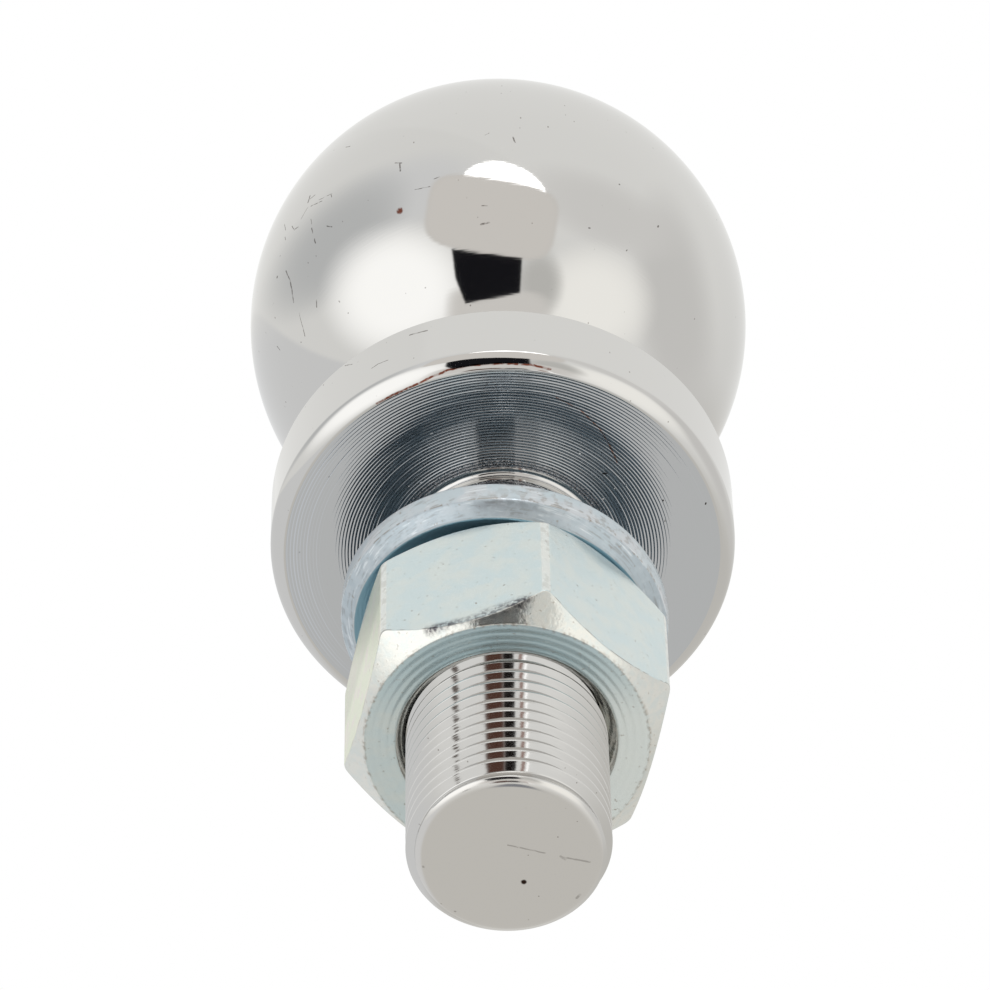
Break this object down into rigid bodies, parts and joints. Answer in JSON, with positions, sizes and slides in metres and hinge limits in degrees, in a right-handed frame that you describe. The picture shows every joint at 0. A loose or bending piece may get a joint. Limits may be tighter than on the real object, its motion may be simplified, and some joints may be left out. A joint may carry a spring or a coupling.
{
  "type": "threaded tow ball",
  "caption": "Chrome tow ball with a waisted neck, a round collar and a threaded shank that carries a zinc plated hexagon nut and a split spring washer.",
  "frame": {"origin": "centre of the collar's turned underside, where the shank's axis meets the face that seats on the drawbar", "axes": "+Z along the axis of the shank, from the shank to the ball; -Y is the side that faces the picture's camera"},
  "size_m": [0.0508, 0.0508, 0.1164],
  "materials": {
    "chrome": "bright chrome plate over polished steel, lathe grooves left on the collar's underside",
    "zinc_washer": "clear blue zinc plate over coiled spring steel",
    "zinc_nut": "clear blue zinc plate with a faint yellow-green sheen, worn on its edges"
  },
  "bodies": {
    "tow_ball": {"tow_ball": "chrome"},
    "washer": {"spring_washer": "zinc_washer"},
    "nut": {"hex_nut": "zinc_nut"}
  },
  "joints": [
    {"name": "nut_travel", "type": "slide", "parent": "tow_ball", "child": "washer", "axis": [0, 0, 1], "range_m": [-0.03334, 0.00476]},
    {"name": "nut_spin", "type": "hinge", "parent": "washer", "child": "nut", "pos_m": [0, 0, -0.02365], "axis": [0, 0, 1], "range_deg": [-7560, 1080]}
  ],
  "couplings": [
    {"joint": "nut_travel", "follows": "nut_spin", "m_per_rad": 0.00025266}
  ]
}
